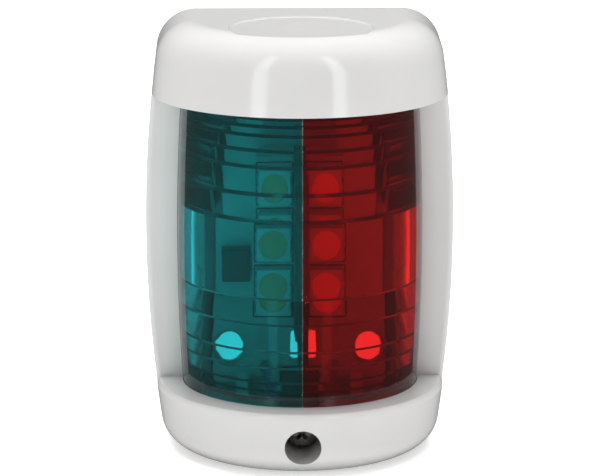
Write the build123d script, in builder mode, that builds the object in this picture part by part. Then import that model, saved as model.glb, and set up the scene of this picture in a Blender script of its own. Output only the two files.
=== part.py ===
from build123d import *

import math
import os

"""Bulkhead-mounted two-colour bow light (starboard green / port red), LED.

Part frame, millimetres: +Z up, the light shines along -Y, starboard is -X, the
bulkhead is the plane Y = 0 and the origin is the middle of the rear mounting face.
"f" is the distance in front of the bulkhead, so Y = -f. Names ending in _F0 and
_F1 are the rear and front of a piece, _XZ are places seen from the front.
"""

os.makedirs("parts", exist_ok=True)

# ---------------------------------------------------------- shared dimensions
FAR = 40.0              # beyond every piece: the size of the cutting boxes
TOUCH = 0.01            # clearance between pieces that lie against each other
SINK = 0.3              # how far feet are sunk into the floor they stand on

# Cover outline
TOP_Z = 31.2            # top of the cap
BOT_Z = -31.1           # underside of the sill
HALF_W = 22.3           # half width at the waist of the barrel-shaped outline
SIDE_R = 190.0          # radius of the bowed sides, seen from the front
WAIST_Z = 1.0           # height of the widest point
SHOULDER_F = 9.6        # the sides run straight to here, then sweep round
FRONT_F = 31.58         # how far the swept front stands out at mid height
FRONT_LEAN = 0.0362     # the sill stands out a little more than the cap
FRONT_BOW = 190.0       # vertical bow of the swept front
R_TOP = 5.8             # roll-over of the cap
R_BOT = 4.5             # roll-under of the sill
WALL = 2.0

# Cover screw, from its seal seat outwards
SCREW_Z = -26.7
SEAT_F = 20.4           # seat of the screw's seal ring
SHANK_R = 1.45
RING_T = 0.7

# Gasket and base
GASKET_T = 1.0
BASE_T = 2.0
BASE_F = GASKET_T + BASE_T      # floor of the base's tray
BASE_INSET = WALL + 0.25        # base edge, in from the cover's outline
HOLE_R = 2.0                    # mounting holes
HOLE_X, HOLE_Z = 10.2, -15.55
HOLES_XZ = [(-HOLE_X, HOLE_Z), (HOLE_X, HOLE_Z)]
TONGUE_X = 9.0                  # two tongues that locate the top of the cover
TONGUE_HALF_W = 2.3
TONGUE_Z0, TONGUE_Z1 = 24.8, 26.6

# Circuit board and wiring
BOARD_F0, BOARD_F1 = 3.6, 4.8
BOARD_W, BOARD_H, BOARD_Z = 25.2, 37.0, -0.9
POST_X = 10.2
FIX_XZ = [(-POST_X, 15.6), (POST_X, 15.6)]              # screws of the board
REST_XZ = FIX_XZ + [(-POST_X, -9.6), (POST_X, -9.6)]    # posts under the board
CABLE_Z = -21.2
CABLE_R = 2.2
SLOT_X, SLOT_Z = 0.63, -15.32   # wiring slot
SLOT_W, SLOT_H = 3.75, 4.2
SLOT_R = 0.5


# -------------------------------------------------------------------- helpers
def save(name, part):
    """Label a finished piece and write its STEP file."""
    part.label = name
    export_step(part, f"parts/{name}.step")


def half_width(z):
    """Half width of the cover's outline at height z."""
    return HALF_W - (z - WAIST_Z) ** 2 / (2 * SIDE_R)


def front(z):
    """Distance of the swept front from the bulkhead at height z."""
    return FRONT_F - FRONT_LEAN * z - z**2 / (2 * FRONT_BOW)


def barrel_face(inset):
    """The light's front outline, moved in by inset, drawn in the active sketch."""
    zt, zb = TOP_Z - inset, BOT_Z + inset
    x_top, x_bot = half_width(zt) - inset, half_width(zb) - inset
    x_waist = HALF_W - inset
    with BuildLine() as outline:
        ThreePointArc((x_bot, zb), (x_waist, WAIST_Z), (x_top, zt))
        Line((x_top, zt), (-x_top, zt))
        ThreePointArc((-x_top, zt), (-x_waist, WAIST_Z), (-x_bot, zb))
        Line((-x_bot, zb), (x_bot, zb))
    # this sketch belongs to the caller, so the edges are handed over by name
    make_face(outline.edges())


def barrel_solid(inset, f0, f1, r_top, r_bot):
    """A prism of the front outline from f0 to f1, corners rounded."""
    with BuildPart() as prism:
        with BuildSketch(Plane.XZ.offset(f0)):
            barrel_face(inset)
        extrude(amount=f1 - f0)
        corners = prism.edges().filter_by(Axis.Y)
        fillet(corners.filter_by_position(Axis.Z, 0, 60), radius=r_top)
        corners = prism.edges().filter_by(Axis.Y)
        lower = [e for e in corners if e.center().Z < BOT_Z + inset + 0.2]
        fillet(lower, radius=r_bot)
    return prism.part


def box_between(x0, x1, f0, f1, z0, z1):
    """A free-standing box between the given limits."""
    with BuildPart() as box:
        with BuildSketch(Plane.XZ.offset(f0)):
            with Locations(((x0 + x1) / 2, (z0 + z1) / 2)):
                Rectangle(x1 - x0, z1 - z0)
        extrude(amount=f1 - f0)
    return box.part


def block(x0, x1, f0, f1, z0, z1, mode=Mode.ADD):
    """A box put straight into the active part; x0 and x1 in either order."""
    with Locations(((x0 + x1) / 2, -(f0 + f1) / 2, (z0 + z1) / 2)):
        Box(abs(x1 - x0), f1 - f0, z1 - z0, mode=mode)


def disc(radius, f0, f1, spots, mode=Mode.ADD):
    """A round prism from f0 to f1 at each (x, z) spot, put into the active part."""
    with BuildSketch(Plane.XZ.offset(f0)) as face:
        with Locations(*spots):
            Circle(radius)
    # a sketch in a helper doesn't join the caller's part, so it is passed on
    extrude(face.sketch, amount=f1 - f0, mode=mode)


def wiring_slot(mode=Mode.ADD):
    """Outline of the wiring slot, drawn in the active sketch."""
    with Locations((SLOT_X, SLOT_Z)):
        RectangleRounded(SLOT_W, SLOT_H, SLOT_R, mode=mode)


# ================================================================== the lens
LENS_R = 17.7           # outer radius of the lens at its waist
LENS_BOW = 330.0        # vertical bow of the lens wall
LENS_T = 2.2
LENS_ZC = -0.8          # optical centre
LENS_TOP = 22.0
LENS_BOT = -23.2
LENS_BACK_F = 5.4
SEAM = 0.16             # bond line between the two colours
# heights of the prism steps above and below the optical centre
RIB_H = [5.39, 9.18, 13.1, 15.45, 17.6, 18.9, 20.0, 21.2]
RIB_DEG = [12, 13, 14, 15, 16, 17, 18]      # slope of each prism step
RIB_DRAFT = 0.45        # height of the slanted return between two steps
PLAIN_H = 2.7           # extra point on the plain band between the steps
FLANGE_F1 = 6.95        # front of the flange behind the cheeks
FLANGE_INSET = WALL + 0.6
FLANGE_OPEN_X = 16.6    # half width of the opening between the flanges
BEAD_END = 1.2          # the sealant bead stops this short of the lens ends
BEAD_STATIONS = 9
BEAD_F0, BEAD_T = LENS_BACK_F + 0.05, 1.5


def lens_radius(z, inset=0.0):
    return LENS_R - inset - (z - LENS_ZC) ** 2 / (2 * LENS_BOW)


def lens_outer(inset, zb, zt, f_back):
    """Solid inside the lens wall's outer surface: half a turn, then straight back."""
    r_bot, r_mid, r_top = (lens_radius(z, inset) for z in (zb, LENS_ZC, zt))
    with BuildPart() as solid:
        with BuildSketch(Plane.XZ.offset(SHOULDER_F)):
            with BuildLine():
                Polyline((0, zb), (r_bot, zb))
                ThreePointArc((r_bot, zb), (r_mid, LENS_ZC), (r_top, zt))
                Polyline((r_top, zt), (0, zt), (0, zb))
            make_face()
        revolve(axis=Axis((0, -SHOULDER_F, 0), (0, 0, 1)), revolution_arc=-180)
        with BuildSketch(Plane.XZ.offset(f_back)):
            with BuildLine():
                Line((-r_bot, zb), (r_bot, zb))
                ThreePointArc((r_bot, zb), (r_mid, LENS_ZC), (r_top, zt))
                Line((r_top, zt), (-r_top, zt))
                ThreePointArc((-r_top, zt), (-r_mid, LENS_ZC), (-r_bot, zb))
            make_face()
        extrude(amount=SHOULDER_F - f_back)
    return solid.part


def bore_profile():
    """Right half of the stepped bore outline, bottom to top, as (x, z)."""
    steps = []      # (cut into the wall, height from the optical centre)
    for deg, h0, h1 in zip(RIB_DEG, RIB_H, RIB_H[1:]):
        steps.append(((h1 - h0) * math.tan(math.radians(deg)), h0 + RIB_DRAFT))
        steps.append((0.0, h1))
    # The offset moves the bore towards the axis, so each step stands inwards.
    below = [(offset, -h) for offset, h in reversed(steps)]
    plain = [(0.0, h) for h in (-RIB_H[0], -PLAIN_H, 0.0, PLAIN_H, RIB_H[0])]
    points = [
        (lens_radius(LENS_ZC + h, LENS_T) - offset, LENS_ZC + h)
        for offset, h in below + plain + steps
    ]
    zb, zt = LENS_BOT - 1.0, LENS_TOP + 1.0
    return [(lens_radius(zb, LENS_T), zb), *points, (lens_radius(zt, LENS_T), zt)]


def lens_wall():
    """Both colours in one: wall, internal prism steps and side flanges."""
    wall_outer = lens_outer(0.0, LENS_BOT, LENS_TOP, LENS_BACK_F)
    bore = bore_profile()
    flange = (
        barrel_solid(FLANGE_INSET, LENS_BACK_F, FLANGE_F1, 3.0, 2.0)
        & box_between(-FAR, FAR, 0, 20, LENS_BOT, LENS_TOP)
    ) - box_between(-FLANGE_OPEN_X, FLANGE_OPEN_X, 0, 20, -FAR, FAR)
    with BuildPart() as wall:
        add(wall_outer)
        with BuildSketch(Plane.XZ.offset(SHOULDER_F)):
            with BuildLine():
                Polyline((0, bore[0][1]), *bore, (0, bore[-1][1]), close=True)
            make_face()
        revolve(
            axis=Axis((0, -SHOULDER_F, 0), (0, 0, 1)),
            revolution_arc=-180,
            mode=Mode.SUBTRACT,
        )
        with BuildSketch(Plane.XZ.offset(LENS_BACK_F - 1)):
            with BuildLine():
                Polyline(*bore, *[(-x, z) for x, z in reversed(bore)], close=True)
            make_face()
        extrude(amount=SHOULDER_F - LENS_BACK_F + 1, mode=Mode.SUBTRACT)
        add(flange)
    return wall.part


def lens_slice(wall, x0, x1):
    """The part of the lens between two planes across the light."""
    with BuildPart() as piece:
        add(wall)
        block(x0, x1, 0, 40, -FAR, FAR, mode=Mode.INTERSECT)
    return piece.part


def lens_sealant():
    """Beads that seal the lens flanges to the inner side walls."""
    z0, z1 = LENS_BOT + BEAD_END, LENS_TOP - BEAD_END
    rows = [z0 + (z1 - z0) * i / (BEAD_STATIONS - 1) for i in range(BEAD_STATIONS)]
    with BuildPart() as beads:
        with BuildSketch(Plane.XZ.offset(BEAD_F0)):
            for side in (-1, 1):
                with BuildLine():
                    Polyline(
                        *[(side * (half_width(z) - WALL - 0.56), z) for z in rows],
                        *[(side * (half_width(z) - WALL - 0.04), z) for z in rows[::-1]],
                        close=True,
                    )
                make_face()
        extrude(amount=BEAD_T)
    return beads.part


whole_lens = lens_wall()
save("lens_starboard_green", lens_slice(whole_lens, -FAR, -SEAM / 2))
save("lens_port_red", lens_slice(whole_lens, SEAM / 2, FAR))
save("lens_bond_line", lens_slice(whole_lens, -SEAM / 2 + TOUCH, SEAM / 2 - TOUCH))
save("lens_sealant", lens_sealant())

# ================================================================= the cover
PLATE = 1.8             # cap floor and sill deck
REAR_GAP = 0.3          # the shell's rear edge stands this far off the bulkhead
OPEN_F = -4.0           # the hollow runs out behind the shell to here
WIN_TOP = 20.6          # lens window, upper and lower edge
WIN_BOT = -21.8
CHEEK_F = 9.0           # front face of the cheeks beside the lens
CHEEK_BACK = CHEEK_F - 2.0
WINDOW_EDGE_R = 0.7
LENS_PLAY = 0.08        # clearance round the lens
PANEL_Y, PANEL_R = -17.3, 10.3          # round panel sunk in the top
PANEL_DEPTH, PANEL_TAPER = 0.14, 40
BLOCK_F = 17.2          # rear face of the screw block in the sill
BLOCK_HALF_W = 4.2
TUNNEL_R = 2.6
SCREW_HOLE_R = 1.65
SOCKET_GAP = 0.3        # clearance round each tongue
SOCKET_WALL = 1.0
SOCKET_F0, SOCKET_F1 = 5.5, 12.5
SOCKET_POCKET_F1 = 11.3
SOCKET_Z0, SOCKET_Z1 = 23.6, 29.6


def d_solid(inset, back, zb, zt, r_top, r_bot):
    """The D-plan, barrel-sided envelope as a loft of three plan sections."""
    with BuildPart() as envelope:
        for i in range(3):
            z = zb + (zt - zb) * i / 2
            w = half_width(z) - inset
            depth = front(z) - inset - SHOULDER_F
            with BuildSketch(Plane.XY.offset(z)):
                with BuildLine():
                    Polyline((-w, -SHOULDER_F), (-w, -back), (w, -back), (w, -SHOULDER_F))
                    EllipticalCenterArc(
                        (0, -SHOULDER_F), w, depth, start_angle=180, arc_size=180
                    )
                make_face()
        loft()
        # round the top and bottom rims, except along the back
        for level, radius in ((zt, r_top), (zb, r_bot)):
            rim = envelope.edges().filter_by_position(Axis.Z, level - 0.01, level + 0.01)
            fillet([e for e in rim if e.center().Y < -back - 0.5], radius=radius)
    return envelope.part


def hollows():
    """Rear chamber, cap chamber, and sill chamber around the screw block."""
    inner = d_solid(
        WALL, OPEN_F, BOT_Z + WALL, TOP_Z - WALL, R_TOP - WALL, R_BOT - WALL
    )
    start_f = CHEEK_BACK - 0.5      # overlaps the rear chamber
    rear = inner & box_between(-FAR, FAR, OPEN_F, CHEEK_BACK, -FAR, FAR)
    cap = inner & box_between(-FAR, FAR, start_f, FAR, WIN_TOP + PLATE, FAR)
    sill = inner & box_between(-FAR, FAR, start_f, FAR, -FAR, WIN_BOT - PLATE)
    sill = sill - box_between(-BLOCK_HALF_W, BLOCK_HALF_W, BLOCK_F, FAR, -FAR, 0)
    return [rear, cap, sill]


def tongue_socket(side):
    """Socket under the roof of the cap for one locating tongue of the base."""
    x = side * TONGUE_X
    pocket = TONGUE_HALF_W + SOCKET_GAP
    body = pocket + SOCKET_WALL
    return box_between(
        x - body, x + body, SOCKET_F0, SOCKET_F1, SOCKET_Z0, SOCKET_Z1
    ) - box_between(
        x - pocket, x + pocket, SOCKET_F0 - 1.5, SOCKET_POCKET_F1,
        TONGUE_Z0 - SOCKET_GAP, TONGUE_Z1 + SOCKET_GAP,
    )


def housing_shell():
    """Cap, cheeks and sill in one moulding, open at the back."""
    outer = d_solid(0.0, REAR_GAP, BOT_Z, TOP_Z, R_TOP, R_BOT)
    chambers = hollows()
    lens_opening = lens_outer(-LENS_PLAY, LENS_BOT - 0.1, LENS_TOP + 0.1, 4.0)
    sockets = [tongue_socket(side) for side in (-1, 1)]
    with BuildPart() as shell:
        add(outer)
        # window: everything in front of the cheeks between cap and sill
        block(-FAR, FAR, CHEEK_F, FAR, WIN_BOT, WIN_TOP, mode=Mode.SUBTRACT)
        # round the front edge of the sill and the outer edges of the cheeks
        sill_edges = [
            e
            for e in shell.edges()
            if abs(e.center().Z - WIN_BOT) < 0.02
            and e.center().Y < -CHEEK_F - 3
            and e.length > 20
        ]
        cheek_edges = [
            e
            for e in shell.edges()
            if abs(e.center().Y + CHEEK_F) < 0.02
            and abs(e.center().X) > 20
            and e.length > 30
        ]
        fillet(sill_edges + cheek_edges, radius=WINDOW_EDGE_R)
        # shallow round panel sunk in the top of the cap
        with BuildSketch(Plane.XY.offset(TOP_Z)):
            with Locations((0, PANEL_Y)):
                Circle(PANEL_R)
        extrude(amount=-PANEL_DEPTH, taper=PANEL_TAPER, mode=Mode.SUBTRACT)
        for chamber in chambers:
            add(chamber, mode=Mode.SUBTRACT)
        add(lens_opening, mode=Mode.SUBTRACT)
        # screwdriver tunnel down to the seal seat, then the clearance hole
        disc(TUNNEL_R, SEAT_F, FAR, [(0, SCREW_Z)], mode=Mode.SUBTRACT)
        disc(SCREW_HOLE_R, BLOCK_F - 1, SEAT_F + 1, [(0, SCREW_Z)], mode=Mode.SUBTRACT)
        add(sockets)
    return shell.part


save("housing_shell", housing_shell())

# ============================================================ the cover screw
HEAD_F0 = SEAT_F + RING_T       # underside of the head
HEAD_R = 2.25
HEAD_H = 1.7
HEAD_F1 = HEAD_F0 + HEAD_H
SCREW_L = 9.5                   # length under the head
POINT_L = 1.3                   # plain point ahead of the thread
ROOT_R = 1.02                   # root of the thread
THREAD_PITCH = 1.1
# one turn of the rolled thread: (distance along the screw, radius)
THREAD_FORM = [(0.40, ROOT_R), (0.70, SHANK_R), (0.80, SHANK_R), (THREAD_PITCH, ROOT_R)]


def screw_blank():
    """Threaded shank and pan head, about the Y axis."""
    tip_f = HEAD_F0 - SCREW_L
    f = tip_f + POINT_L
    profile = [(tip_f, 0.0), (tip_f + 0.25, 0.45), (f, ROOT_R)]     # (f, radius)
    while f + THREAD_PITCH < HEAD_F0 - 0.6:
        profile += [(f + along, radius) for along, radius in THREAD_FORM]
        f += THREAD_PITCH
    profile += [
        (HEAD_F0 - 0.05, ROOT_R),
        (HEAD_F0, 1.25),
        (HEAD_F0, HEAD_R),
        (HEAD_F0 + 0.55, HEAD_R + 0.02),
    ]
    points = [(-f, radius) for f, radius in profile]
    crown = (-HEAD_F1, 0.0)
    with BuildPart() as blank:
        with BuildSketch(Plane.YZ):
            with BuildLine():
                Polyline(*points)
                ThreePointArc(points[-1], (-(HEAD_F0 + 1.30), HEAD_R * 0.72), crown)
                Line(crown, points[0])
            make_face()
        revolve(axis=Axis.Y)
    return blank.part


def recess_blade():
    """One tapered slot of the cross recess."""
    with BuildPart() as blade:
        with BuildSketch(Plane.XZ.offset(HEAD_F1 - 1.25)):
            Rectangle(0.9, 0.40)
        with BuildSketch(Plane.XZ.offset(HEAD_F1 + 0.2)):
            Rectangle(2.7, 0.62)
        loft()
    return blade.part


def cover_screw():
    blank, blade = screw_blank(), recess_blade()
    place = Location((0, 0, SCREW_Z))
    with BuildPart() as screw:
        add(blank.moved(place))
        for angle in (45, 135):
            add(blade.rotate(Axis.Y, angle).moved(place), mode=Mode.SUBTRACT)
    return screw.part


def screw_seal_ring():
    """Rubber ring under the head."""
    with BuildPart() as ring:
        with BuildSketch(Plane.XZ.offset(SEAT_F + TOUCH)):
            with Locations((0, SCREW_Z)):
                Circle(2.35)
                Circle(1.55, mode=Mode.SUBTRACT)
        extrude(amount=RING_T - 0.03)
        fillet(ring.edges(), radius=0.15)
    return ring.part


save("cover_screw", cover_screw())
save("screw_seal_ring", screw_seal_ring())

# ================================================================== the base
RIM_F = 5.0                     # front of the tray's rim
RIM_T = 1.9
PILLAR_R, PILLAR_F1 = 2.4, 16.8     # pillar that takes the cover screw
PILLAR_BORE_L = 8.1
WEB_T = 1.2
WEB_X = 9.0                     # outer end of each web at the floor
POST_R = 2.1
PILOT_R = 0.85
HOOK_X, HOOK_HALF_W, HOOK_F1 = 8.2, 0.9, 5.7
HOOK_Z0 = -20.7
HOLE_RING_R, HOLE_RING_H = 2.4, 0.4
CABLE_HOLE_R = 2.45
GROOVE_F0, GROOVE_F1 = 2.4, 3.6     # groove of the perimeter seal
GROOVE_DEPTH = 0.8
SEAL_PLAY = 0.02                # clearance between the seal and its neighbours
SEAL_OUTER_INSET = WALL + 0.03


def pillar_web(side):
    """Web that braces the screw pillar sideways."""
    foot_y = -BASE_F + SINK
    top_y = -PILLAR_F1 + 4.0
    with BuildPart() as web:
        with BuildSketch(Plane.XY.offset(SCREW_Z - WEB_T / 2)):
            with BuildLine():
                Polyline(
                    (side * 1.5, foot_y),
                    (side * WEB_X, foot_y),
                    (side * WEB_X, -BASE_F - 0.6),
                    (side * 2.2, top_y),
                    (side * 1.5, top_y),
                    close=True,
                )
            make_face()
        extrude(amount=WEB_T)
    return web.part


def base_plate():
    webs = [pillar_web(side) for side in (-1, 1)]
    blank = barrel_solid(BASE_INSET, GASKET_T, RIM_F, R_TOP - BASE_INSET, 2.2)
    tray = barrel_solid(BASE_INSET + RIM_T, BASE_F, RIM_F + 1, 2.0, 1.0)
    groove = barrel_solid(1.0, GROOVE_F0, GROOVE_F1, 3.0, 2.0) - barrel_solid(
        BASE_INSET + GROOVE_DEPTH, 2.0, 4.0, 2.75, 1.4
    )
    pillar_spot = [(0, SCREW_Z)]
    foot_f = BASE_F - SINK
    with BuildPart() as base:
        add(blank)
        add(tray, mode=Mode.SUBTRACT)
        # bored pillar with two webs
        disc(PILLAR_R, GASKET_T + 0.2, PILLAR_F1, pillar_spot)
        add(webs)
        disc(
            SHANK_R + 0.06, PILLAR_F1 - PILLAR_BORE_L, PILLAR_F1 + 0.5, pillar_spot,
            mode=Mode.SUBTRACT,
        )
        # tongues that locate the top of the cover, each with a foot
        for side in (-1, 1):
            x0, x1 = side * TONGUE_X - TONGUE_HALF_W, side * TONGUE_X + TONGUE_HALF_W
            block(x0, x1, RIM_F - 2.2, 10.8, TONGUE_Z0, TONGUE_Z1)
            block(x0, x1, GASKET_T + 0.4, RIM_F, TONGUE_Z0, 28.0)
        # posts for the circuit board
        disc(POST_R, foot_f, BOARD_F0 - 0.02, REST_XZ)
        # two hooks that hold the lower edge of the circuit board
        for side in (-1, 1):
            x0, x1 = side * HOOK_X - HOOK_HALF_W, side * HOOK_X + HOOK_HALF_W
            block(x0, x1, foot_f, HOOK_F1, HOOK_Z0, -19.55)
            block(x0, x1, BOARD_F1 + 0.15, HOOK_F1, HOOK_Z0, -18.8)
        # the pillar's underside is flat, clear of the floor of the sill
        block(-6, 6, 0, 40, -FAR, BOT_Z + BASE_INSET, mode=Mode.SUBTRACT)
        # mounting holes, with a raised ring round each
        disc(HOLE_RING_R, foot_f, BASE_F + HOLE_RING_H, HOLES_XZ)
        disc(HOLE_R, GASKET_T, GASKET_T + 12, HOLES_XZ, mode=Mode.SUBTRACT)
        # hole of the cable's grommet, and the wiring slot above it
        with BuildSketch(Plane.XZ.offset(0)):
            with Locations((0, CABLE_Z)):
                Circle(CABLE_HOLE_R)
            wiring_slot()
        extrude(amount=BASE_F + 0.2, mode=Mode.SUBTRACT)
        add(groove, mode=Mode.SUBTRACT)
        # pilot holes for the board screws
        disc(PILOT_R, BOARD_F0 - 1.9, BOARD_F0 + 0.1, FIX_XZ, mode=Mode.SUBTRACT)
    return base.part


def perimeter_seal():
    """Seal in the groove round the edge of the base."""
    outer = barrel_solid(
        SEAL_OUTER_INSET, GROOVE_F0 + 0.05, GROOVE_F1 - 0.05,
        R_TOP - SEAL_OUTER_INSET, R_BOT - SEAL_OUTER_INSET,
    )
    inner = barrel_solid(BASE_INSET + GROOVE_DEPTH - SEAL_PLAY, 2.0, 4.0, 2.77, 1.42)
    with BuildPart() as seal:
        add(outer)
        add(inner, mode=Mode.SUBTRACT)
    return seal.part


def mounting_gasket():
    """Soft gasket between the base and the bulkhead."""
    blank = barrel_solid(WALL + 0.7, 0.0, GASKET_T, 3.1, 1.8)
    with BuildPart() as gasket:
        add(blank)
        with BuildSketch(Plane.XZ):
            with Locations(*HOLES_XZ):
                Circle(HOLE_R)
            with Locations((0, CABLE_Z)):
                Circle(3.0)
            wiring_slot()
        extrude(amount=GASKET_T, mode=Mode.SUBTRACT)
    return gasket.part


save("base_plate", base_plate())
save("perimeter_seal", perimeter_seal())
save("mounting_gasket", mounting_gasket())

# ========================================================= the circuit board
SURROUND_W, SURROUND_H = 29.0, BOARD_H + 3.9
SURROUND_T = 2.2
SURROUND_GAP = 0.3              # board opening, larger than the board by this
BOARD_HEAD_R, BOARD_HEAD_H = 1.6, 0.9
BOARD_SHANK_R, BOARD_SHANK_L = 0.8, 2.88
CROSS_L, CROSS_W, CROSS_TURN = 1.9, 0.4, 20     # cross recess of the board screws


def board_surround():
    """Rubber surround between the circuit board and the wall of the tray."""
    with BuildPart() as surround:
        with BuildSketch(Plane.XZ.offset(BASE_F + TOUCH)):
            with Locations((0, BOARD_Z)):
                RectangleRounded(SURROUND_W, SURROUND_H, 2.6)
                RectangleRounded(
                    BOARD_W + SURROUND_GAP, BOARD_H + SURROUND_GAP, 1.3, mode=Mode.SUBTRACT
                )
            # open at the bottom
            with Locations((0, -21.5)):
                Rectangle(40.0, 4.2, mode=Mode.SUBTRACT)
        extrude(amount=SURROUND_T)
        fillet(surround.faces().sort_by(Axis.Y)[0].edges(), radius=0.3)
    return surround.part


def circuit_board():
    with BuildPart() as board:
        with BuildSketch(Plane.XZ.offset(BOARD_F0)):
            with Locations((0, BOARD_Z)):
                RectangleRounded(BOARD_W, BOARD_H, 1.2)
            # room for the cable and its grommet at the lower edge
            with Locations((0, -20.0)):
                Rectangle(6.4, 4.0, mode=Mode.SUBTRACT)
            wiring_slot(mode=Mode.SUBTRACT)
            with Locations(*HOLES_XZ):
                Circle(HOLE_RING_R + 0.05, mode=Mode.SUBTRACT)
            with Locations(*FIX_XZ):
                Circle(1.15, mode=Mode.SUBTRACT)
        extrude(amount=BOARD_F1 - BOARD_F0)
    return board.part


def board_screws():
    head_f0 = BOARD_F1 + TOUCH
    shank_f1 = BOARD_F1 + 0.02      # runs a little into the head
    with BuildPart() as screws:
        disc(BOARD_HEAD_R, head_f0, head_f0 + BOARD_HEAD_H, FIX_XZ)
        disc(BOARD_SHANK_R, BOARD_F1 - BOARD_SHANK_L, shank_f1, FIX_XZ)
        tops = screws.faces().filter_by(Plane.XZ).group_by(Axis.Y)[0]
        fillet([e for top in tops for e in top.edges()], radius=0.45)
        with BuildSketch(Plane.XZ.offset(BOARD_F1 + 1.2)):
            with Locations(*FIX_XZ):
                Rectangle(CROSS_L, CROSS_W, rotation=CROSS_TURN)
                Rectangle(CROSS_W, CROSS_L, rotation=CROSS_TURN)
        extrude(amount=-0.75, mode=Mode.SUBTRACT)
    return screws.part


save("board_surround", board_surround())
save("circuit_board", circuit_board())
save("board_screws", board_screws())

# ================================================= LED stack, in two columns
LED_X = 3.83                    # LED columns, either side of the middle
LED_PITCH = 6.15
LED_MID_Z = -1.85               # middle LED
LED_SIZE = 5.0
COLUMN_Z0 = LED_MID_Z - LED_PITCH - 3.5
COLUMN_Z1 = LED_MID_Z + LED_PITCH + 3.5
COLUMN_H = COLUMN_Z1 - COLUMN_Z0
LED_BOARD_F0, LED_BOARD_F1 = 7.4, 8.4
LED_BOARD_X0, LED_BOARD_X1 = 0.97, 6.9      # inner and outer edge of each board
PEDESTAL_F0, PEDESTAL_F1 = BOARD_F1 + TOUCH, LED_BOARD_F0 - TOUCH
PEDESTAL_W = 13.4
BRIDGE_X = 1.2
DIVIDER_T = 1.8
DIVIDER_BACK_F = 6.1
DIVIDER_NECK_F = LED_BOARD_F0 + 0.05
DIVIDER_TIP_F = 22.8
DIVIDER_CORNER_F = 20.8
DIVIDER_Z0 = -17.9      # lower end of the divider's front strip
DIVIDER_STEP_Z = -12.7  # below this only the strip runs on, clear of the wiring slot
DIVIDER_STEP_F = 17.5
LED_BODY_F1 = LED_BOARD_F1 + 1.61       # plane the cups and notches are cut from
CUP_TAPER = 18


def led_pedestal():
    """Two-legged block that carries the LED boards, with the divider's slot between."""
    with BuildPart() as pedestal:
        with BuildSketch(Plane.XZ.offset(PEDESTAL_F0)):
            with Locations((0, LED_MID_Z)):
                RectangleRounded(PEDESTAL_W, COLUMN_H - 0.4, 0.6)
        extrude(amount=PEDESTAL_F1 - PEDESTAL_F0)
        block(-LED_BOARD_X0, LED_BOARD_X0, 0, 20, -FAR, FAR, mode=Mode.SUBTRACT)
        block(-2.2, 2.2, 0, 5.9, COLUMN_Z0 + 1.5, COLUMN_Z1 - 1.5, mode=Mode.SUBTRACT)
        # bridges that keep the halves one moulding, clear of the divider's foot
        for z0, z1 in (
            (COLUMN_Z0 + 0.2, COLUMN_Z0 + 1.5),
            (COLUMN_Z1 - 1.5, COLUMN_Z1 - 0.2),
        ):
            block(-BRIDGE_X, BRIDGE_X, PEDESTAL_F0, PEDESTAL_F1, z0, z1)
    return pedestal.part


def sector_divider():
    """Upright plate between the two LED columns."""
    outline = [     # (f, z)
        (DIVIDER_BACK_F, COLUMN_Z0 + 1.6),
        (DIVIDER_NECK_F, COLUMN_Z0 + 1.6),
        (DIVIDER_NECK_F, DIVIDER_STEP_Z),
        (DIVIDER_STEP_F, DIVIDER_STEP_Z),
        (DIVIDER_STEP_F, DIVIDER_Z0),
        (DIVIDER_CORNER_F, DIVIDER_Z0),
        (DIVIDER_TIP_F, DIVIDER_Z0 + 2.0),
        (DIVIDER_TIP_F, COLUMN_Z1 - 1.0),
        (DIVIDER_CORNER_F, COLUMN_Z1 + 1.0),
        (DIVIDER_NECK_F, COLUMN_Z1 + 1.0),
        (DIVIDER_NECK_F, COLUMN_Z1 - 1.6),
        (DIVIDER_BACK_F, COLUMN_Z1 - 1.6),
    ]
    with BuildPart() as divider:
        with BuildSketch(Plane.YZ.offset(-DIVIDER_T / 2)):
            with BuildLine():
                Polyline(*[(-f, z) for f, z in outline], close=True)
            make_face()
        extrude(amount=DIVIDER_T)
        # the two upright edges at the very front
        chamfer(divider.edges().filter_by(Axis.Z).sort_by(Axis.Y)[0:2], length=0.35)
        # the strip in front of the wiring slot is cut back on the starboard side
        block(
            -1.2, -0.55, DIVIDER_STEP_F - 1, 24, DIVIDER_Z0 - 1, DIVIDER_STEP_Z,
            mode=Mode.SUBTRACT,
        )
    return divider.part


def led_board(side):
    with BuildPart() as board:
        with BuildSketch(Plane.XZ.offset(LED_BOARD_F0)):
            with Locations((side * (LED_BOARD_X0 + LED_BOARD_X1) / 2, LED_MID_Z)):
                RectangleRounded(LED_BOARD_X1 - LED_BOARD_X0, COLUMN_H, 0.4)
        extrude(amount=LED_BOARD_F1 - LED_BOARD_F0)
    return board.part


def led_bodies(spots):
    with BuildPart() as bodies:
        with BuildSketch(Plane.XZ.offset(LED_BOARD_F1 + 0.12)):
            with Locations(*spots):
                Rectangle(LED_SIZE - 0.1, LED_SIZE)
        extrude(amount=1.48, taper=2)
        # the round cup that holds the phosphor gel
        with BuildSketch(Plane.XZ.offset(LED_BODY_F1)):
            with Locations(*spots):
                Circle(2.12)
        extrude(amount=-0.55, taper=CUP_TAPER, mode=Mode.SUBTRACT)
        # polarity notch in one corner of the cup rim
        with BuildSketch(Plane.XZ.offset(LED_BODY_F1)):
            with Locations(*[(x + 2.15, z - 2.2) for x, z in spots]):
                Rectangle(1.1, 1.1, rotation=45)
        extrude(amount=-0.18, mode=Mode.SUBTRACT)
    return bodies.part


def led_phosphor(spots):
    with BuildPart() as gel:
        with BuildSketch(Plane.XZ.offset(LED_BOARD_F1 + 1.55)):
            with Locations(*spots):
                Circle(2.06)
        extrude(amount=-0.45, taper=CUP_TAPER)
    return gel.part


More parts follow.
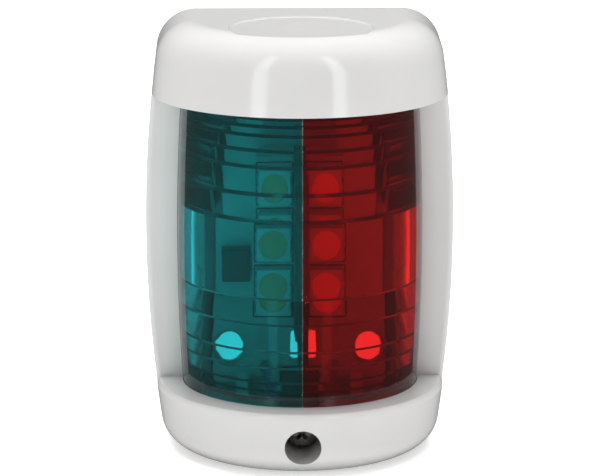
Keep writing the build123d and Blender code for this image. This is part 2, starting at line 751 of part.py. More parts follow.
def led_leads(spots):
    """Three L-shaped leads on either side of each LED."""
    lead_pitch, half_w = 1.6, 0.45
    foot_x, upright_x, outer_x = 2.0, 2.56, 2.74    # from the LED's centre
    f0 = LED_BOARD_F1 + TOUCH
    with BuildPart() as leads:
        for x, z in spots:
            for s in (-1, 1):
                for k in (-1, 0, 1):
                    z0 = z + k * lead_pitch - half_w
                    z1 = z + k * lead_pitch + half_w
                    outer = x + s * outer_x
                    block(x + s * foot_x, outer, f0, f0 + 0.10, z0, z1)
                    block(x + s * upright_x, outer, f0, f0 + 0.74, z0, z1)
    return leads.part


save("led_pedestal", led_pedestal())
save("sector_divider", sector_divider())
for side, tag in ((-1, "starboard"), (1, "port")):
    led_spots = [(side * LED_X, LED_MID_Z + k * LED_PITCH) for k in (-1, 0, 1)]
    save(f"led_board_{tag}", led_board(side))
    save(f"led_bodies_{tag}", led_bodies(led_spots))
    save(f"led_phosphor_{tag}", led_phosphor(led_spots))
    save(f"led_leads_{tag}", led_leads(led_spots))

# ========================================================== small components
RECTIFIER_X, RECTIFIER_Z = -9.45, -5.6
RECTIFIER_F0, RECTIFIER_H = BOARD_F1 + 0.25, 2.2
# chip resistors: x, z, turn in degrees
RESISTORS = [(-4.5, 12.3, 0), (5.2, 12.3, 90), (0.6, 13.4, 0)]
TERMINAL_OFFSET = 1.36          # terminal's centre from the resistor's centre


def bridge_rectifier():
    with BuildPart() as body:
        with BuildSketch(Plane.XZ.offset(RECTIFIER_F0)):
            with Locations((RECTIFIER_X, RECTIFIER_Z)):
                Rectangle(4.3, 5.0)
        extrude(amount=RECTIFIER_H, taper=4)
        # round dimple in one corner
        top_f = RECTIFIER_F0 + RECTIFIER_H
        dimple = (RECTIFIER_X - 1.3, RECTIFIER_Z + 1.7)
        disc(0.35, top_f - 0.12, top_f, [dimple], mode=Mode.SUBTRACT)
    return body.part


def rectifier_legs():
    with BuildPart() as legs:
        for s in (-1, 1):
            for k in (-1, 1):
                z = RECTIFIER_Z + k * 1.27
                block(
                    RECTIFIER_X + s * 1.3, RECTIFIER_X + s * 2.3,
                    BOARD_F1 + TOUCH, BOARD_F1 + 0.22, z - 0.3, z + 0.3,
                )
    return legs.part


def chip_resistors():
    with BuildPart() as bodies:
        for x, z, turn in RESISTORS:
            with BuildSketch(Plane.XZ.offset(BOARD_F1 + 0.04)):
                with Locations((x, z)):
                    Rectangle(1.6, 2.2, rotation=turn)
            extrude(amount=0.55)
    return bodies.part


def resistor_terminals():
    with BuildPart() as terminals:
        for x, z, turn in RESISTORS:
            for s in (-1, 1):
                shift = s * TERMINAL_OFFSET
                dx, dz = (0, shift) if turn == 0 else (shift, 0)
                with BuildSketch(Plane.XZ.offset(BOARD_F1 + 0.02)):
                    with Locations((x + dx, z + dz)):
                        Rectangle(1.62, 0.5, rotation=turn)
                extrude(amount=0.6)
    return terminals.part


save("bridge_rectifier", bridge_rectifier())
save("rectifier_legs", rectifier_legs())
save("chip_resistors", chip_resistors())
save("resistor_terminals", resistor_terminals())

# ================================================================= the cable
GROMMET_R = CABLE_HOLE_R - 0.02
SHEATH_F1 = 5.3                 # front end of the sheath
SHEATH_END_Y = 15.0             # rear ends, behind the bulkhead
CORE_END_Y = 21.0
CORE_X = 0.95
CORES_XZ = [(-CORE_X, CABLE_Z), (CORE_X, CABLE_Z)]
CORE_R = 0.74
PAD_X, PAD_Z = 4.75, -18.15     # solder pads of the cable cores


def cable_grommet():
    cable_spot = [(0, CABLE_Z)]
    with BuildPart() as grommet:
        with BuildSketch(Plane.XZ.offset(BASE_F + TOUCH)):
            with Locations((0, CABLE_Z + 0.45)):
                RectangleRounded(5.6, 4.7, 0.7)
        extrude(amount=6.2)
        fillet(grommet.edges().group_by(Axis.Y)[0], radius=0.5)
        # neck through the base, flange in the gasket, and the neck through the flange
        disc(GROMMET_R, GASKET_T, BASE_F + 0.02, cable_spot)
        disc(2.8, 0.1, GASKET_T - 0.02, cable_spot)
        disc(GROMMET_R, 0.1, 2.1, cable_spot)
        disc(CABLE_R + 0.01, -1, 5.5, cable_spot, mode=Mode.SUBTRACT)
        # cross passage where the two cores part
        block(-5, 5, 5.1, 8.25, CABLE_Z - 1.0, CABLE_Z + 1.75, mode=Mode.SUBTRACT)
    return grommet.part


def cable_sheath():
    with BuildPart() as sheath:
        disc(CABLE_R - 0.01, -SHEATH_END_Y, SHEATH_F1, [(0, CABLE_Z)])
        disc(0.8, -FAR, SHEATH_F1, CORES_XZ, mode=Mode.SUBTRACT)
    return sheath.part


def core(side):
    """One insulated core: from behind the bulkhead, through the sheath, up to its pad."""
    with BuildPart() as wire:
        with BuildLine() as path:
            straight = Line(
                (side * CORE_X, CORE_END_Y, CABLE_Z), (side * CORE_X, -5.2, CABLE_Z)
            )
            Spline(
                straight @ 1,
                (side * 2.2, -7.0, CABLE_Z + 0.15),
                (side * 4.1, -7.3, CABLE_Z + 1.3),
                (side * PAD_X, -5.78, PAD_Z),
                tangents=((0, -1, 0), (side * 0.1, 1, 0.3)),
            )
        with BuildSketch(
            Plane(origin=path.line @ 0, z_dir=path.line % 0, x_dir=(1, 0, 0))
        ):
            Circle(CORE_R)
        sweep(transition=Transition.ROUND)
    return wire.part


def tinned_ends():
    """Bare ends of the cores, behind the bulkhead."""
    start_y = CORE_END_Y + 0.02
    with BuildPart() as ends:
        disc(0.42, -start_y - 5.5, -start_y, CORES_XZ)
    return ends.part


def solder_joints():
    with BuildPart() as joints:
        with BuildSketch(Plane.XZ.offset(BOARD_F1 + TOUCH)):
            with Locations((-PAD_X, PAD_Z), (PAD_X, PAD_Z)):
                Circle(1.0)
        extrude(amount=0.7, taper=25)
    return joints.part


save("cable_grommet", cable_grommet())
save("cable_sheath", cable_sheath())
save("core_positive", core(1))
save("core_negative", core(-1))
save("tinned_ends", tinned_ends())
save("solder_joints", solder_joints())
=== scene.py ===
# A two-colour navigation light: starboard green and port red lenses that meet at x = 0.
# It stands upright with +Z up, its lens bows towards -Y and the port side is towards +X.
# The CAD pieces get their materials here, and small details and a studio are added.
import math
import random

import bmesh
import bpy
from mathutils import Matrix, Vector


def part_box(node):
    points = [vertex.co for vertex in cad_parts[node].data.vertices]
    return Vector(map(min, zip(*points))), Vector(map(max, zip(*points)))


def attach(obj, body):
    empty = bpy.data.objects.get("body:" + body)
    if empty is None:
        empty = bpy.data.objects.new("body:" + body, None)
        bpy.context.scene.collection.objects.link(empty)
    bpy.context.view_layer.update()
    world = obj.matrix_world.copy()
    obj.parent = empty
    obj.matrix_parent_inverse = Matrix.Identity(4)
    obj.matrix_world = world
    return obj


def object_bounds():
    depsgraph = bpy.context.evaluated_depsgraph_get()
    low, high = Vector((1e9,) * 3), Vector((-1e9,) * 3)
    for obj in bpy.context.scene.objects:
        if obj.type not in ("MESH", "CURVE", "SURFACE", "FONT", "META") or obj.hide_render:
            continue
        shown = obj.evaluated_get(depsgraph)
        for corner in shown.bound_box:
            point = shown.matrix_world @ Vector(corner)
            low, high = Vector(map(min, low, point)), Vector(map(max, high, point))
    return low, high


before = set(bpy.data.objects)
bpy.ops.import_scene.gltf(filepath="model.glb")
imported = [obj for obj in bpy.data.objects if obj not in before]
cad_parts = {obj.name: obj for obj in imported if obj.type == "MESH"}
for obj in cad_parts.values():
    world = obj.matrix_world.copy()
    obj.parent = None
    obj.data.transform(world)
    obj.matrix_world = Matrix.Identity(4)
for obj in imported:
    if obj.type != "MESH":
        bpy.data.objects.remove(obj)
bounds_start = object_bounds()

random.seed(7)
MM = 0.001


# ---------------------------------------------------------------- shader helpers
def node(tree, kind, inputs=None, **settings):
    """Add a node. Each input is a socket to link from or a plain value (colours are RGB)."""
    made = tree.nodes.new(kind)
    for setting, value in settings.items():
        setattr(made, setting, value)
    for key, value in (inputs or {}).items():
        socket = made.inputs[key]
        if isinstance(value, bpy.types.NodeSocket):
            tree.links.new(value, socket)
        elif socket.type == "RGBA":
            socket.default_value = (*value, 1)
        else:
            socket.default_value = value
    return made


def new_material(name):
    """An empty material, its node tree and the surface socket to link the shader to."""
    material = bpy.data.materials.new(name)
    material.use_nodes = True
    tree = material.node_tree
    tree.nodes.clear()
    return material, tree, node(tree, "ShaderNodeOutputMaterial").inputs["Surface"]


def noise(tree, scale, detail=4.0, stretch=None):
    vector = node(tree, "ShaderNodeTexCoord").outputs["Object"]
    if stretch:
        mapping = node(tree, "ShaderNodeMapping", {"Vector": vector, "Scale": stretch})
        vector = mapping.outputs["Vector"]
    return node(tree, "ShaderNodeTexNoise", {
        "Scale": scale, "Detail": detail, "Roughness": 0.55, "Vector": vector,
    }).outputs["Fac"]


def remap(tree, value, low, high, from_low=0.3, from_high=0.7):
    """Map a value to low..high; the default source range is where noise mostly lies."""
    return node(tree, "ShaderNodeMapRange", {
        "Value": value, "From Min": from_low, "From Max": from_high,
        "To Min": low, "To Max": high,
    }).outputs["Result"]


def maths(tree, operation, *values):
    inputs = dict(enumerate(values))
    return node(tree, "ShaderNodeMath", inputs, operation=operation).outputs[0]


def mix_color(tree, factor, first, second, blend="MIX"):
    inputs = {"Factor": factor, "A": first, "B": second}
    mixed = node(tree, "ShaderNodeMix", inputs, data_type="RGBA", blend_type=blend)
    return mixed.outputs["Result"]


def mix_shader(tree, factor, first, second):
    inputs = {"Fac": factor, 1: first, 2: second}
    return node(tree, "ShaderNodeMixShader", inputs).outputs["Shader"]


def shader(tree, kind, color):
    """A simple shader that only has a colour set."""
    return node(tree, kind, {"Color": color}).outputs["BSDF"]


def bump(tree, height, distance):
    inputs = {"Height": height, "Strength": 1.0, "Distance": distance}
    return node(tree, "ShaderNodeBump", inputs).outputs["Normal"]


def scaled(color, factor):
    return tuple(channel * factor for channel in color)


# -------------------------------------------------------------- material builders
def surface(name, main, mottle, rough, scale, bump_mm, bump_scale, metal=0.0, coat=0.0,
            scatter=0.0, stretch=None, corner_shade_tint=None, corner_shade_reach=0.0, glow=None):
    """An opaque surface with mottled colour, mottled roughness and a fine relief.

    rough is a range; scale is the mottling's and bump_scale the relief's.
    The corner tint and reach paint shade into corners and gaps by ambient occlusion; glow is
    an emission colour and strength.
    """
    material, tree, output = new_material(name)
    mottling = remap(tree, noise(tree, scale, stretch=stretch), low=0, high=1)
    color = mix_color(tree, mottling, main, mottle)
    # painted shade: ambient occlusion darkens the colour in corners and gaps
    if corner_shade_tint:
        openness = node(tree, "ShaderNodeAmbientOcclusion", {"Distance": corner_shade_reach})
        shelter = maths(tree, "SUBTRACT", 1.0, openness.outputs["AO"])
        color = mix_color(tree, shelter, color, corner_shade_tint, blend="MULTIPLY")
    relief = noise(tree, bump_scale, detail=3.0, stretch=stretch)
    polish = noise(tree, scale * 2.3, stretch=stretch)
    inputs = {
        "Base Color": color,
        "Roughness": remap(tree, polish, *rough),
        "Normal": bump(tree, relief, distance=bump_mm * MM),
        "Metallic": metal,
        "Coat Weight": coat,
        "Coat Roughness": 0.08,
    }
    if scatter:
        inputs["Subsurface Weight"] = scatter
        inputs["Subsurface Radius"] = (1.2 * MM, 1.1 * MM, 1.0 * MM)
        inputs["Subsurface Scale"] = 1.0
    if glow:
        inputs["Emission Color"], inputs["Emission Strength"] = glow
    principled = node(tree, "ShaderNodeBsdfPrincipled", inputs)
    tree.links.new(principled.outputs["BSDF"], output)
    return material


def prism_returns(tree):
    """How far a face looks straight up or down, as the returns between prism steps do."""
    normal = node(tree, "ShaderNodeNewGeometry").outputs["True Normal"]
    parts = node(tree, "ShaderNodeSeparateXYZ", {0: normal})
    upright = maths(tree, "ABSOLUTE", parts.outputs["Z"])
    return remap(tree, upright, low=0.0, high=1.0, from_low=0.42, from_high=0.60)


def lens_roughness(tree, returns):
    """Uneven polish plus sparse scuffs drawn out along z, duller on the returns."""
    polish = remap(tree, noise(tree, scale=160, detail=6), low=0.015, high=0.05)
    streaks = noise(tree, scale=900, detail=2, stretch=(1, 1, 0.06))
    scuffs = remap(tree, streaks, low=0.0, high=0.10, from_low=0.66, from_high=0.74)
    returns_dulling = 0.18
    faces = maths(tree, "ADD", polish, scuffs)
    return maths(tree, "MULTIPLY_ADD", returns, returns_dulling, faces)


def lens(name, tint, pass_tint, haze_tint):
    """Clear tinted acrylic: refracts what is behind it, passes tinted light to the inside,
    with painted shade on the prism returns.
    """
    material, tree, output = new_material(name)
    returns = prism_returns(tree)
    mottling = remap(tree, noise(tree, scale=90), low=0, high=1)
    color = mix_color(tree, mottling, tint, scaled(tint, 0.96))
    # painted shade: the base colour also falls to a dark version of the tint on the returns
    acrylic = node(tree, "ShaderNodeBsdfPrincipled", {
        "Base Color": mix_color(tree, returns, color, scaled(tint, 0.05)),
        "Transmission Weight": 1.0,
        "IOR": 1.49,
        "Roughness": lens_roughness(tree, returns),
        "Normal": bump(tree, noise(tree, scale=130, detail=2), distance=0.012 * MM),
    }).outputs["BSDF"]

    # a thin milky haze on the polished faces
    haze = remap(tree, noise(tree, scale=240, detail=5), low=0.020, high=0.036)
    haze = maths(tree, "MULTIPLY", haze, maths(tree, "SUBTRACT", 1.0, returns))
    milk = shader(tree, "ShaderNodeBsdfDiffuse", haze_tint)
    visible = mix_shader(tree, haze, acrylic, milk)

    # painted shade: the returns are mostly a dark matt version of the tint, darker than the
    # clear acrylic would look there
    painted_shade_share = 0.8
    painted_shade_tint = tuple(channel * 0.14 + 0.006 for channel in tint)
    painted_shade = shader(tree, "ShaderNodeBsdfDiffuse", painted_shade_tint)
    visible = mix_shader(tree, maths(tree, "MULTIPLY", returns, painted_shade_share), visible, painted_shade)

    # shadow and diffuse rays pass straight through
    rays = node(tree, "ShaderNodeLightPath").outputs
    passing = maths(tree, "MAXIMUM", rays["Is Shadow Ray"], rays["Is Diffuse Ray"])
    clear = shader(tree, "ShaderNodeBsdfTransparent", pass_tint)
    tree.links.new(mix_shader(tree, passing, visible, clear), output)
    return material


def pvc(name, main, mottle, rough=(0.3, 0.45)):
    """Cable plastic with its mottling drawn out along y."""
    return surface(name, main, mottle, rough, scale=700, bump_mm=0.01, bump_scale=1500,
                   stretch=(1, 0.15, 1))


# ------------------------------------------------------------------ the materials
# shell_white, base_white and screw_steel get painted shade in their corners
shell_white = surface(
    "shell_white", main=(0.735, 0.73, 0.725), mottle=(0.70, 0.695, 0.69), rough=(0.10, 0.15),
    scale=60, bump_mm=0.004, bump_scale=900, coat=0.25, scatter=0.08,
    corner_shade_tint=(0.72, 0.72, 0.72), corner_shade_reach=2.5 * MM)
base_white = surface(
    "base_white", main=(0.78, 0.78, 0.76), mottle=(0.72, 0.72, 0.70), rough=(0.35, 0.5),
    scale=150, bump_mm=0.01, bump_scale=2500,
    corner_shade_tint=(0.5, 0.5, 0.5), corner_shade_reach=2 * MM)
mask_white = surface(
    "board_mask_white", main=(0.63, 0.64, 0.62), mottle=(0.56, 0.57, 0.55), rough=(0.3, 0.5),
    scale=420, bump_mm=0.008, bump_scale=3200)
pedestal_white = surface(
    "pedestal_white", main=(0.75, 0.75, 0.73), mottle=(0.66, 0.66, 0.64), rough=(0.45, 0.6),
    scale=200, bump_mm=0.012, bump_scale=2400)
divider_grey = surface(
    "divider_grey", main=(0.055, 0.055, 0.057), mottle=(0.035, 0.035, 0.036), rough=(0.4, 0.6),
    scale=300, bump_mm=0.015, bump_scale=2600)
rubber = surface(
    "rubber_black", main=(0.02, 0.02, 0.021), mottle=(0.035, 0.035, 0.034), rough=(0.6, 0.8),
    scale=500, bump_mm=0.02, bump_scale=3000)
# painted shade: the board surround is near-black for the deep shade in the gap between board
# and lens wall
surround = surface(
    "board_surround_painted_shade", main=(0.06, 0.06, 0.06), mottle=(0.038, 0.038, 0.039),
    rough=(0.55, 0.75), scale=500, bump_mm=0.02, bump_scale=3000)
foam = surface(
    "gasket_foam", main=(0.045, 0.045, 0.047), mottle=(0.09, 0.09, 0.09), rough=(0.85, 0.95),
    scale=1800, bump_mm=0.06, bump_scale=3600)
sealant = surface(
    "sealant", main=(0.62, 0.62, 0.60), mottle=(0.5, 0.5, 0.48), rough=(0.4, 0.6),
    scale=260, bump_mm=0.03, bump_scale=900)
steel = surface(
    "screw_steel", main=(0.62, 0.61, 0.60), mottle=(0.48, 0.47, 0.45), rough=(0.22, 0.42),
    scale=900, bump_mm=0.006, bump_scale=5200, metal=1.0,
    corner_shade_tint=(0.25, 0.24, 0.22), corner_shade_reach=0.5 * MM)
led_white = surface(
    "led_ceramic", main=(0.82, 0.82, 0.80), mottle=(0.74, 0.74, 0.72), rough=(0.4, 0.55),
    scale=900, bump_mm=0.006, bump_scale=5000)
tinned = surface(
    "tinned", main=(0.74, 0.73, 0.71), mottle=(0.55, 0.54, 0.52), rough=(0.18, 0.4),
    scale=1600, bump_mm=0.02, bump_scale=2800, metal=1.0)
solder = surface(
    "solder", main=(0.66, 0.66, 0.66), mottle=(0.46, 0.46, 0.46), rough=(0.12, 0.3),
    scale=1300, bump_mm=0.03, bump_scale=1600, metal=1.0)
epoxy = surface(
    "ic_epoxy", main=(0.018, 0.018, 0.02), mottle=(0.035, 0.035, 0.036), rough=(0.5, 0.7),
    scale=2400, bump_mm=0.02, bump_scale=6000)
resistor = surface(
    "resistor_glaze", main=(0.014, 0.014, 0.016), mottle=(0.03, 0.03, 0.035),
    rough=(0.2, 0.35), scale=2000, bump_mm=0.008, bump_scale=5000)
pvc_black = pvc("pvc_black", main=(0.02, 0.02, 0.02), mottle=(0.032, 0.032, 0.032),
                rough=(0.35, 0.5))
pvc_blue = pvc("pvc_blue", main=(0.11, 0.26, 0.44), mottle=(0.08, 0.20, 0.36))
pvc_red = pvc("pvc_red", main=(0.42, 0.012, 0.012), mottle=(0.30, 0.01, 0.01))
# painted shadow: near-black frames round the LED packages
shadow_frame_paint = surface(
    "painted_shadow_frame", main=(0.02, 0.02, 0.022), mottle=(0.05, 0.05, 0.05), rough=(0.5, 0.7),
    scale=1500, bump_mm=0.005, bump_scale=4000)
# painted glow: the phosphor gets a faint emission though no lamp drives it
phosphor = surface(
    "phosphor_gel", main=(1.0, 0.52, 0.25), mottle=(0.95, 0.44, 0.19), rough=(0.12, 0.25),
    scale=1400, bump_mm=0.01, bump_scale=2200, coat=0.5, scatter=0.3,
    glow=((1.0, 0.14, 0.05), 0.2))
lens_green = lens("lens_green", tint=(0.014, 0.36, 0.40), pass_tint=(0.74, 0.88, 0.87),
                  haze_tint=(0.06, 0.44, 0.41))
lens_red = lens("lens_red", tint=(0.60, 0.012, 0.011), pass_tint=(0.74, 0.66, 0.66),
                haze_tint=(0.48, 0.05, 0.06))
bond = lens("bond_clear", tint=(0.86, 0.90, 0.88), pass_tint=(0.8, 0.85, 0.83),
            haze_tint=(0.7, 0.75, 0.74))
bubble_skin = surface(
    "bubble_skin", main=(0.82, 0.84, 0.84), mottle=(0.60, 0.66, 0.66), rough=(0.08, 0.2),
    scale=3000, bump_mm=0.002, bump_scale=5000)

SIDES = ("starboard", "port")
PIECE_MATERIALS = {
    "housing_shell": shell_white,
    "lens_starboard_green": lens_green,
    "lens_port_red": lens_red,
    "lens_bond_line": bond,
    "lens_sealant": sealant,
    "cover_screw": steel,
    "screw_seal_ring": rubber,
    "base_plate": base_white,
    "perimeter_seal": rubber,
    "board_surround": surround,
    "mounting_gasket": foam,
    "circuit_board": mask_white,
    "board_screws": steel,
    "led_pedestal": pedestal_white,
    "sector_divider": divider_grey,
    "bridge_rectifier": epoxy,
    "rectifier_legs": tinned,
    "chip_resistors": resistor,
    "resistor_terminals": tinned,
    "cable_grommet": rubber,
    "cable_sheath": pvc_black,
    "core_positive": pvc_red,
    "core_negative": pvc_blue,
    "tinned_ends": tinned,
    "solder_joints": solder,
}
for side in SIDES:
    PIECE_MATERIALS[f"led_board_{side}"] = mask_white
    PIECE_MATERIALS[f"led_bodies_{side}"] = led_white
    PIECE_MATERIALS[f"led_phosphor_{side}"] = phosphor
    PIECE_MATERIALS[f"led_leads_{side}"] = tinned

for piece, piece_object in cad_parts.items():
    if not piece_object.material_slots:
        piece_object.data.materials.append(PIECE_MATERIALS[piece])
    for slot in piece_object.material_slots:
        slot.material = PIECE_MATERIALS[piece]


# ------------------------------------------------------------------- mesh helpers
def link_object(name, data):
    made = bpy.data.objects.new(name, data)
    bpy.context.scene.collection.objects.link(made)
    return made


def add_mesh(name, shape, material, smooth=True):
    """Turn a bmesh into a scene object, and free the bmesh."""
    mesh = bpy.data.meshes.new(name)
    shape.to_mesh(mesh)
    shape.free()
    if smooth:
        for polygon in mesh.polygons:
            polygon.use_smooth = True
    mesh.materials.append(material)
    return link_object(name, mesh)


def add_bar(shape, x_range, y_range, z_range):
    """A plain box between the given limits."""
    corners = [shape.verts.new((x, y, z)) for x in x_range for y in y_range for z in z_range]
    for quad in ((0, 1, 3, 2), (4, 6, 7, 5), (0, 4, 5, 1),
                 (2, 3, 7, 6), (0, 2, 6, 4), (1, 5, 7, 3)):
        shape.faces.new([corners[i] for i in quad])


# ------------------------------------------------------------- details on the LED boards
LED_PITCH = 6.15 * MM  # three packages, one above another

# painted shadow: a dark frame around each package stands in for the shadow gap between package
# and board
SHADOW_FRAME_HALF_WIDTH = 2.80 * MM
SHADOW_FRAME_HALF_HEIGHT = 2.72 * MM
SHADOW_FRAME_LINE = 0.20 * MM
SHADOW_FRAME_FRONT = 0.03 * MM  # both are distances in front of the board face
SHADOW_FRAME_BACK = 0.002 * MM

# solder fillet at each lead, an oval dome that rises towards -y
LEAD_OFFSET = 2.66 * MM  # from the package centre, in x
LEAD_PITCH = 1.6 * MM
FILLET_HALF_WIDTH = 0.16 * MM
FILLET_HALF_HEIGHT = 0.42 * MM
FILLET_FOOT = 0.01  # mm in front of the board face
FILLET_RISE = 0.22  # mm
FILLET_SEGMENTS = 10
# share of the oval's size, share of the rise
FILLET_PROFILE = ((1.0, 0.0), (0.86, 0.35), (0.55, 0.75), (0.18, 1.0))


def led_layout(side):
    """The x and z of the middle package, and the y of the board's front face."""
    low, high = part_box(f"led_bodies_{side}")
    board_low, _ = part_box(f"led_board_{side}")
    return (low[0] + high[0]) / 2, (low[2] + high[2]) / 2, board_low[1]


def build_painted_shadow_frames(side):
    # the dark frames are painted shadow around each package
    centre_x, centre_z, face_y = led_layout(side)
    left, right = centre_x - SHADOW_FRAME_HALF_WIDTH, centre_x + SHADOW_FRAME_HALF_WIDTH
    depth = (face_y - SHADOW_FRAME_FRONT, face_y - SHADOW_FRAME_BACK)
    shape = bmesh.new()
    for row in (-1, 0, 1):
        z = centre_z + row * LED_PITCH
        top, bottom = z + SHADOW_FRAME_HALF_HEIGHT, z - SHADOW_FRAME_HALF_HEIGHT
        add_bar(shape, (left, right), depth, (top, top + SHADOW_FRAME_LINE))
        add_bar(shape, (left, right), depth, (bottom - SHADOW_FRAME_LINE, bottom))
        for x in (left, right):
            add_bar(shape, (x - SHADOW_FRAME_LINE * 0.5, x + SHADOW_FRAME_LINE * 0.5), depth, (bottom, top))
    bmesh.ops.recalc_face_normals(shape, faces=shape.faces)
    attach(add_mesh(f"painted_shadow_frame_{side}", shape, shadow_frame_paint, smooth=False), "base")


def add_fillet(shape, x, face_y, z):
    rings = []
    for size, rise in FILLET_PROFILE:
        ring = []
        for i in range(FILLET_SEGMENTS):
            angle = 2 * math.pi * i / FILLET_SEGMENTS
            ring.append(shape.verts.new((
                x + FILLET_HALF_WIDTH * size * math.cos(angle),
                face_y - (FILLET_FOOT + FILLET_RISE * rise) * MM,
                z + FILLET_HALF_HEIGHT * size * math.sin(angle))))
        rings.append(ring)
    for lower, upper in zip(rings, rings[1:]):
        for i in range(FILLET_SEGMENTS):
            j = (i + 1) % FILLET_SEGMENTS
            shape.faces.new((lower[i], lower[j], upper[j], upper[i]))
    shape.faces.new(rings[-1])
    shape.faces.new(rings[0][::-1])


def build_lead_solder(side):
    """Fillets at the six leads of each package."""
    centre_x, centre_z, face_y = led_layout(side)
    shape = bmesh.new()
    for row in (-1, 0, 1):
        for flank in (-1, 1):
            for lead in (-1, 0, 1):
                z = centre_z + row * LED_PITCH + lead * LEAD_PITCH
                add_fillet(shape, centre_x + flank * LEAD_OFFSET, face_y, z)
    bmesh.ops.recalc_face_normals(shape, faces=shape.faces)
    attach(add_mesh(f"lead_solder_{side}", shape, solder), "base")


for side in SIDES:
    build_painted_shadow_frames(side)
    build_lead_solder(side)


# ------------------------------------------------------- air bubbles in the bond line
BUBBLES = 34
CLUSTERED = 16  # the first ones gather around one height
INSIDE_PORT = 11  # the first ones sit just inside the port lens
CLUSTER_Z = -6.0 * MM
CLUSTER_SPREAD = 0.7
END_MARGIN = 3  # mm kept free at each end of the bond line
LENS_CROWN = 27.3  # mm, how far the lens front reaches towards -y
LENS_CROWN_Z = -0.8  # mm, height of that point
LENS_BOW = 660.0  # mm, height squared over this is the fall back from the crown


def build_bubbles():
    low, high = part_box("lens_bond_line")
    shape = bmesh.new()
    for i in range(BUBBLES):
        span = high[2] - low[2] - 2 * END_MARGIN * MM
        z = low[2] + END_MARGIN * MM + span * random.random()
        if i < CLUSTERED:
            z = CLUSTER_Z + random.gauss(0, CLUSTER_SPREAD) * MM
        radius = random.uniform(0.03, 0.075) * MM
        bow = (z / MM - LENS_CROWN_Z) ** 2 / LENS_BOW
        depth = random.uniform(0.25, 1.7)
        y = -(LENS_CROWN - bow - depth) * MM
        x_range = (0.2, 0.85) if i < INSIDE_PORT else (-0.05, 0.05)
        x = random.uniform(*x_range) * MM
        stretch = Matrix.Diagonal((0.8, 1.0, random.uniform(0.9, 1.8), 1))
        bmesh.ops.create_uvsphere(shape, u_segments=12, v_segments=8, radius=radius,
                                  matrix=Matrix.Translation((x, y, z)) @ stretch)
    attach(add_mesh("bond_bubbles", shape, bubble_skin), "cover")


build_bubbles()

# ---------------------------------------------------------------------- the floor
FLOOR_GAP = 0.00005  # below the lowest point of the object
FLOOR_REACH = 3.0  # to the front, to each side and up the back
SWEEP_START = 0.9  # y where the floor starts to curve up
SWEEP_RADIUS = 0.5
SWEEP_STEPS = 12


def floor_material():
    color = (0.93, 0.93, 0.93)
    material, tree, output = new_material("floor_pale")
    mottling = remap(tree, noise(tree, scale=3), low=0, high=1)
    pale = node(tree, "ShaderNodeBsdfPrincipled", {
        "Base Color": mix_color(tree, mottling, color, scaled(color, 0.985)),
        "Roughness": 0.6,
        "Specular IOR Level": 0.1,
        "Emission Color": (1, 1, 1),
        "Emission Strength": 0.36,
    }).outputs["BSDF"]
    # seen from below the floor is clear, so the underside of the object can be looked at
    backfacing = node(tree, "ShaderNodeNewGeometry").outputs["Backfacing"]
    camera_ray = node(tree, "ShaderNodeLightPath").outputs["Is Camera Ray"]
    under = maths(tree, "MULTIPLY", backfacing, camera_ray)
    clear = node(tree, "ShaderNodeBsdfTransparent").outputs["BSDF"]
    tree.links.new(mix_shader(tree, under, pale, clear), output)
    return material


def build_floor():
    """A flat floor that sweeps up into a back wall."""
    profile = [(-FLOOR_REACH, 0.0), (SWEEP_START, 0.0)]
    for i in range(1, SWEEP_STEPS + 1):
        angle = math.radians(90 * i / SWEEP_STEPS)
        profile.append((SWEEP_START + SWEEP_RADIUS * math.sin(angle),
                        SWEEP_RADIUS - SWEEP_RADIUS * math.cos(angle)))
    profile.append((SWEEP_START + SWEEP_RADIUS, FLOOR_REACH))
    floor_z = bounds_start[0][2] - FLOOR_GAP
    shape = bmesh.new()
    rows = [[shape.verts.new((x, y, floor_z + z)) for x in (-FLOOR_REACH, FLOOR_REACH)]
            for y, z in profile]
    for near, far in zip(rows, rows[1:]):
        shape.faces.new((near[0], near[1], far[1], far[0]))
    floor = add_mesh("floor", shape, floor_material())
    floor.visible_glossy = False


build_floor()

# --------------------------------------------------------------------- the camera
CAMERA_AZIMUTH = math.radians(1.2)  # from straight in front towards -x
CAMERA_ELEVATION = math.radians(12.96)
CAMERA_DISTANCE = 0.5645
CAMERA_TARGET = Vector((-0.00008, -0.014, 0.0))


def build_camera():
    towards = Vector((-math.sin(CAMERA_AZIMUTH) * math.cos(CAMERA_ELEVATION),
                      -math.cos(CAMERA_AZIMUTH) * math.cos(CAMERA_ELEVATION),
                      math.sin(CAMERA_ELEVATION)))
    data = bpy.data.cameras.new("camera")
    data.lens = 235.5
    data.sensor_width = 36.0
    camera = link_object("camera", data)
    camera.location = CAMERA_TARGET + towards * CAMERA_DISTANCE
    camera.rotation_euler = (-towards).to_track_quat("-Z", "Y").to_euler()
    bpy.context.scene.camera = camera


build_camera()

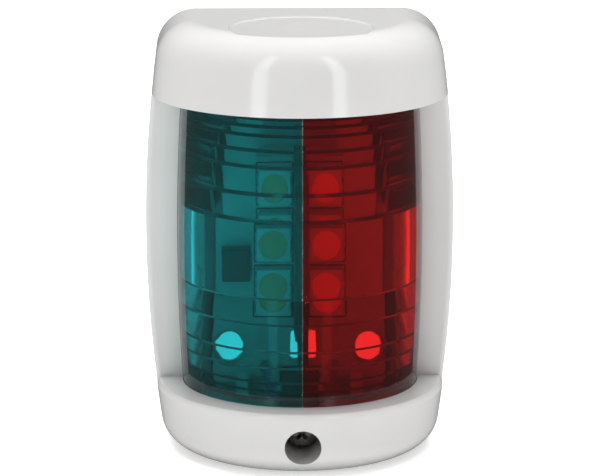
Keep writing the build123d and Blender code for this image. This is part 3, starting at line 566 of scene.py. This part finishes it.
# --------------------------------------------------------------------- the lights
SOFTBOX_ANGLE = math.radians(28)  # to each side of the camera's azimuth
SOFTBOX_DISTANCE = 0.30
SOFTBOX_HEIGHT = 0.275
SOFTBOX_SIZE = (0.052, 0.50)
LIGHT_TARGET = Vector((0, -0.01, 0))


def softbox_material():
    material, tree, output = new_material("softbox_glow")
    glow = node(tree, "ShaderNodeEmission", {"Color": (1, 1, 1), "Strength": 2.9})
    tree.links.new(glow.outputs["Emission"], output)
    return material


def build_softbox(name, flank):
    """An upright glowing card that faces the object, hidden from the camera."""
    azimuth = flank * SOFTBOX_ANGLE - CAMERA_AZIMUTH
    shape = bmesh.new()
    bmesh.ops.create_grid(shape, x_segments=1, y_segments=1, size=0.5)
    card = add_mesh(name, shape, softbox_material(), smooth=False)
    card.scale = (*SOFTBOX_SIZE, 1)
    card.rotation_euler = (math.radians(90), 0, azimuth)
    card.location = (math.sin(azimuth) * SOFTBOX_DISTANCE,
                     -math.cos(azimuth) * SOFTBOX_DISTANCE, SOFTBOX_HEIGHT)
    card.visible_camera = False


def build_area_light(name, location, size, power):
    data = bpy.data.lights.new(name, "AREA")
    data.shape = "RECTANGLE"
    data.size, data.size_y = size
    data.energy = power
    light = link_object(name, data)
    light.location = location
    aim = LIGHT_TARGET - Vector(location)
    light.rotation_euler = aim.to_track_quat("-Z", "Y").to_euler()
    light.visible_glossy = False


def build_world():
    """Even white light, dimmer in reflections."""
    world = bpy.data.worlds.new("studio")
    bpy.context.scene.world = world
    world.use_nodes = True
    tree = world.node_tree
    tree.nodes.clear()
    glossy = node(tree, "ShaderNodeLightPath").outputs["Is Glossy Ray"]
    strength = remap(tree, glossy, low=0.27, high=0.12, from_low=0.0, from_high=1.0)
    background = node(tree, "ShaderNodeBackground", {"Color": (1, 1, 1), "Strength": strength})
    node(tree, "ShaderNodeOutputWorld", {"Surface": background.outputs["Background"]})


build_softbox("softbox_l", flank=-1)
build_softbox("softbox_r", flank=1)
build_area_light("top_light", location=(0.0, 0.10, 0.65), size=(0.8, 0.45), power=6.0)
build_area_light("front_fill", location=(0.0, -0.9, 0.35), size=(0.8, 0.6), power=0.06)
build_world()
bpy.context.scene.view_settings.view_transform = "Standard"
